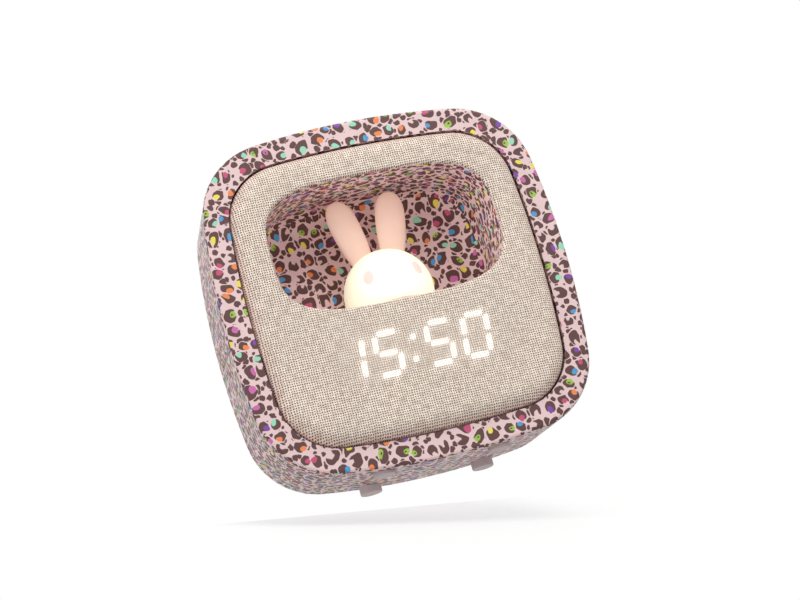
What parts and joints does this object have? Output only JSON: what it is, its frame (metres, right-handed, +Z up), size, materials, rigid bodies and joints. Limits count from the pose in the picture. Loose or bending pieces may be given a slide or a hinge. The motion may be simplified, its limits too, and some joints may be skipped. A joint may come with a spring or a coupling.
{
  "type": "kids alarm clock with night light",
  "caption": "Rounded-square bedside alarm clock with a cloth front, printed rim and recess, LED time display behind the cloth and a press-to-light bunny night light",
  "frame": {"origin": "on the resting plane under the middle of the clock, midway between its frontmost and rearmost points", "axes": "X to the right seen from the front, Y into the clock from front to back, Z up"},
  "size_m": [0.1448, 0.055, 0.1453],
  "materials": {
    "front_shell": "multicolour leopard print over pale pink, satin",
    "foot_front_left": "soft pale pink pad",
    "foot_front_right": "soft pale pink pad",
    "foot_back_left": "soft pale pink pad",
    "foot_back_right": "soft pale pink pad",
    "fascia_panel": "moulded, unpainted",
    "fabric_cover": "beige plain weave",
    "niche_liner": "multicolour leopard print over pale pink, satin",
    "press_spring": "silicone bellows",
    "lamp_board": "white solder mask",
    "lamp_led": "warm white emitter",
    "hall_sensor": "moulded package",
    "lamp_screws": "zinc plated",
    "display_reflector": "dark, stops light spreading",
    "digit_hours_tens": "milky light guide",
    "digit_hours_ones": "milky light guide",
    "colon_dots": "milky light guide",
    "digit_minutes_tens": "milky light guide",
    "digit_minutes_ones": "milky light guide",
    "display_leds": "white emitters",
    "display_board": "green solder mask",
    "rear_cover": "pale pink, fine texture",
    "rear_screw_low_left": "zinc plated",
    "rear_screw_top_left": "zinc plated",
    "rear_screw_low_right": "zinc plated",
    "rear_screw_top_right": "zinc plated",
    "main_board": "green solder mask",
    "board_screws": "zinc plated",
    "tact_switches": "moulded package",
    "slide_switch": "moulded package",
    "usb_socket": "plated shell",
    "speaker_basket": "moulded",
    "speaker_magnet": "ferrite with steel cup",
    "speaker_cone": "thin film cone",
    "battery_cell": "shrink sleeve",
    "battery_holder": "moulded",
    "display_ribbon": "flat flexible lead",
    "lamp_lead": "flat flexible lead",
    "battery_lead": "flat twin lead",
    "speaker_lead": "flat twin lead",
    "rabbit_head": "frosted ivory, lit from inside",
    "ear_left": "soft peach pink",
    "ear_right": "soft peach pink",
    "eye_left": "pale pink inlay",
    "eye_right": "pale pink inlay",
    "light_pipe": "clear polished rod",
    "retaining_ring": "ring magnet, plated",
    "key_alarm": "pale pink key cap",
    "key_mode": "pale pink key cap",
    "key_down": "pale pink key cap",
    "key_up": "pale pink key cap",
    "power_slider": "pale pink"
  },
  "bodies": {
    "casing": {"front_shell": "front_shell", "foot_front_left": "foot_front_left", "foot_front_right": "foot_front_right", "foot_back_left": "foot_back_left", "foot_back_right": "foot_back_right", "fascia_panel": "fascia_panel", "fabric_cover": "fabric_cover", "niche_liner": "niche_liner", "press_spring": "press_spring", "lamp_board": "lamp_board", "lamp_led": "lamp_led", "hall_sensor": "hall_sensor", "lamp_screws": "lamp_screws", "display_reflector": "display_reflector", "digit_hours_tens": "digit_hours_tens", "digit_hours_ones": "digit_hours_ones", "colon_dots": "colon_dots", "digit_minutes_tens": "digit_minutes_tens", "digit_minutes_ones": "digit_minutes_ones", "display_leds": "display_leds", "display_board": "display_board", "rear_cover": "rear_cover", "rear_screw_low_left": "rear_screw_low_left", "rear_screw_top_left": "rear_screw_top_left", "rear_screw_low_right": "rear_screw_low_right", "rear_screw_top_right": "rear_screw_top_right", "main_board": "main_board", "board_screws": "board_screws", "tact_switches": "tact_switches", "slide_switch": "slide_switch", "usb_socket": "usb_socket", "speaker_basket": "speaker_basket", "speaker_magnet": "speaker_magnet", "speaker_cone": "speaker_cone", "battery_cell": "battery_cell", "battery_holder": "battery_holder", "display_ribbon": "display_ribbon", "lamp_lead": "lamp_lead", "battery_lead": "battery_lead", "speaker_lead": "speaker_lead"},
    "bunny": {"rabbit_head": "rabbit_head", "ear_left": "ear_left", "ear_right": "ear_right", "eye_left": "eye_left", "eye_right": "eye_right", "light_pipe": "light_pipe", "retaining_ring": "retaining_ring"},
    "key_alarm": {"key_alarm": "key_alarm"},
    "key_mode": {"key_mode": "key_mode"},
    "key_down": {"key_down": "key_down"},
    "key_up": {"key_up": "key_up"},
    "slider": {"power_slider": "power_slider"}
  },
  "joints": [
    {"name": "bunny_press", "type": "slide", "parent": "casing", "child": "bunny", "axis": [0, 0, -1], "range_m": [0, 0.0006], "stiffness_N_per_m": 800, "springref_m": -0.0005, "deforming": ["press_spring"]},
    {"name": "key_alarm_press", "type": "slide", "parent": "casing", "child": "key_alarm", "axis": [0, -1, 0], "range_m": [0, 0.0005], "stiffness_N_per_m": 1500, "springref_m": -0.0002},
    {"name": "key_mode_press", "type": "slide", "parent": "casing", "child": "key_mode", "axis": [0, -1, 0], "range_m": [0, 0.0005], "stiffness_N_per_m": 1500, "springref_m": -0.0002},
    {"name": "key_down_press", "type": "slide", "parent": "casing", "child": "key_down", "axis": [0, -1, 0], "range_m": [0, 0.0005], "stiffness_N_per_m": 1500, "springref_m": -0.0002},
    {"name": "key_up_press", "type": "slide", "parent": "casing", "child": "key_up", "axis": [0, -1, 0], "range_m": [0, 0.0005], "stiffness_N_per_m": 1500, "springref_m": -0.0002},
    {"name": "slider_travel", "type": "slide", "parent": "casing", "child": "slider", "axis": [1, 0, 0], "range_m": [-0.002, 0.002]}
  ]
}
